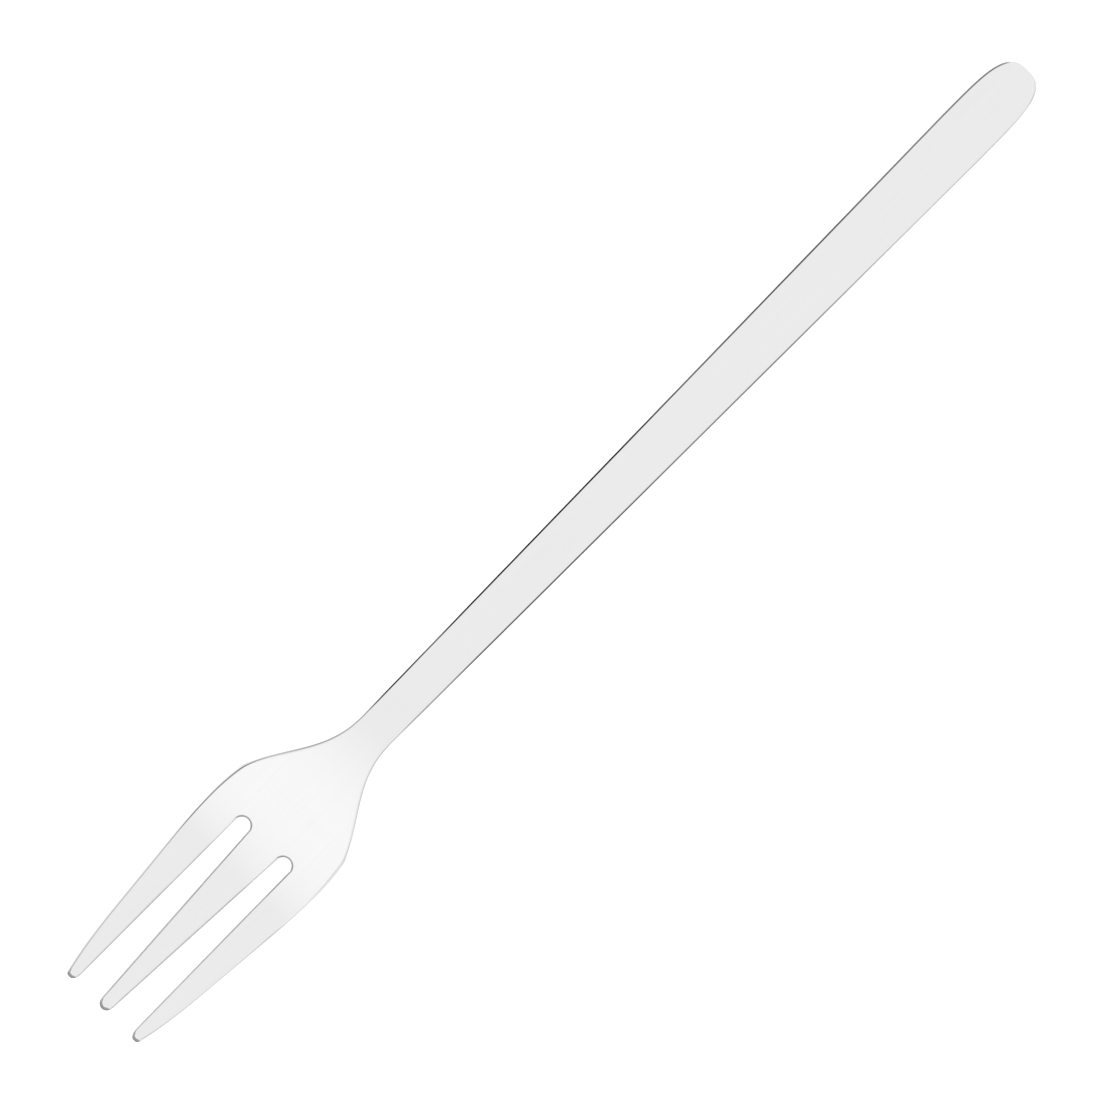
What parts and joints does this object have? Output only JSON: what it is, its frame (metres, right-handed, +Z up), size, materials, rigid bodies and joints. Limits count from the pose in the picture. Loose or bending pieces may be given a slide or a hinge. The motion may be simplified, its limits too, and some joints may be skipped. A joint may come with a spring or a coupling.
{
  "type": "pastry fork",
  "caption": "Slim one-piece pastry fork with tapering tines, a dipped palm, a narrow neck and a long flat handle with a rounded end.",
  "frame": {"origin": "on the table under the middle of the fork's box, with the fork lying as it rests, tines curving up", "axes": "+Y along the fork from the handle's end towards the tips, +X across the tines, +Z up from the table"},
  "size_m": [0.017, 0.15, 0.0082],
  "materials": {
    "steel": "bright polished stainless steel with rounded, polished edges"
  },
  "bodies": {
    "root": {"fork": "steel"}
  },
  "joints": []
}
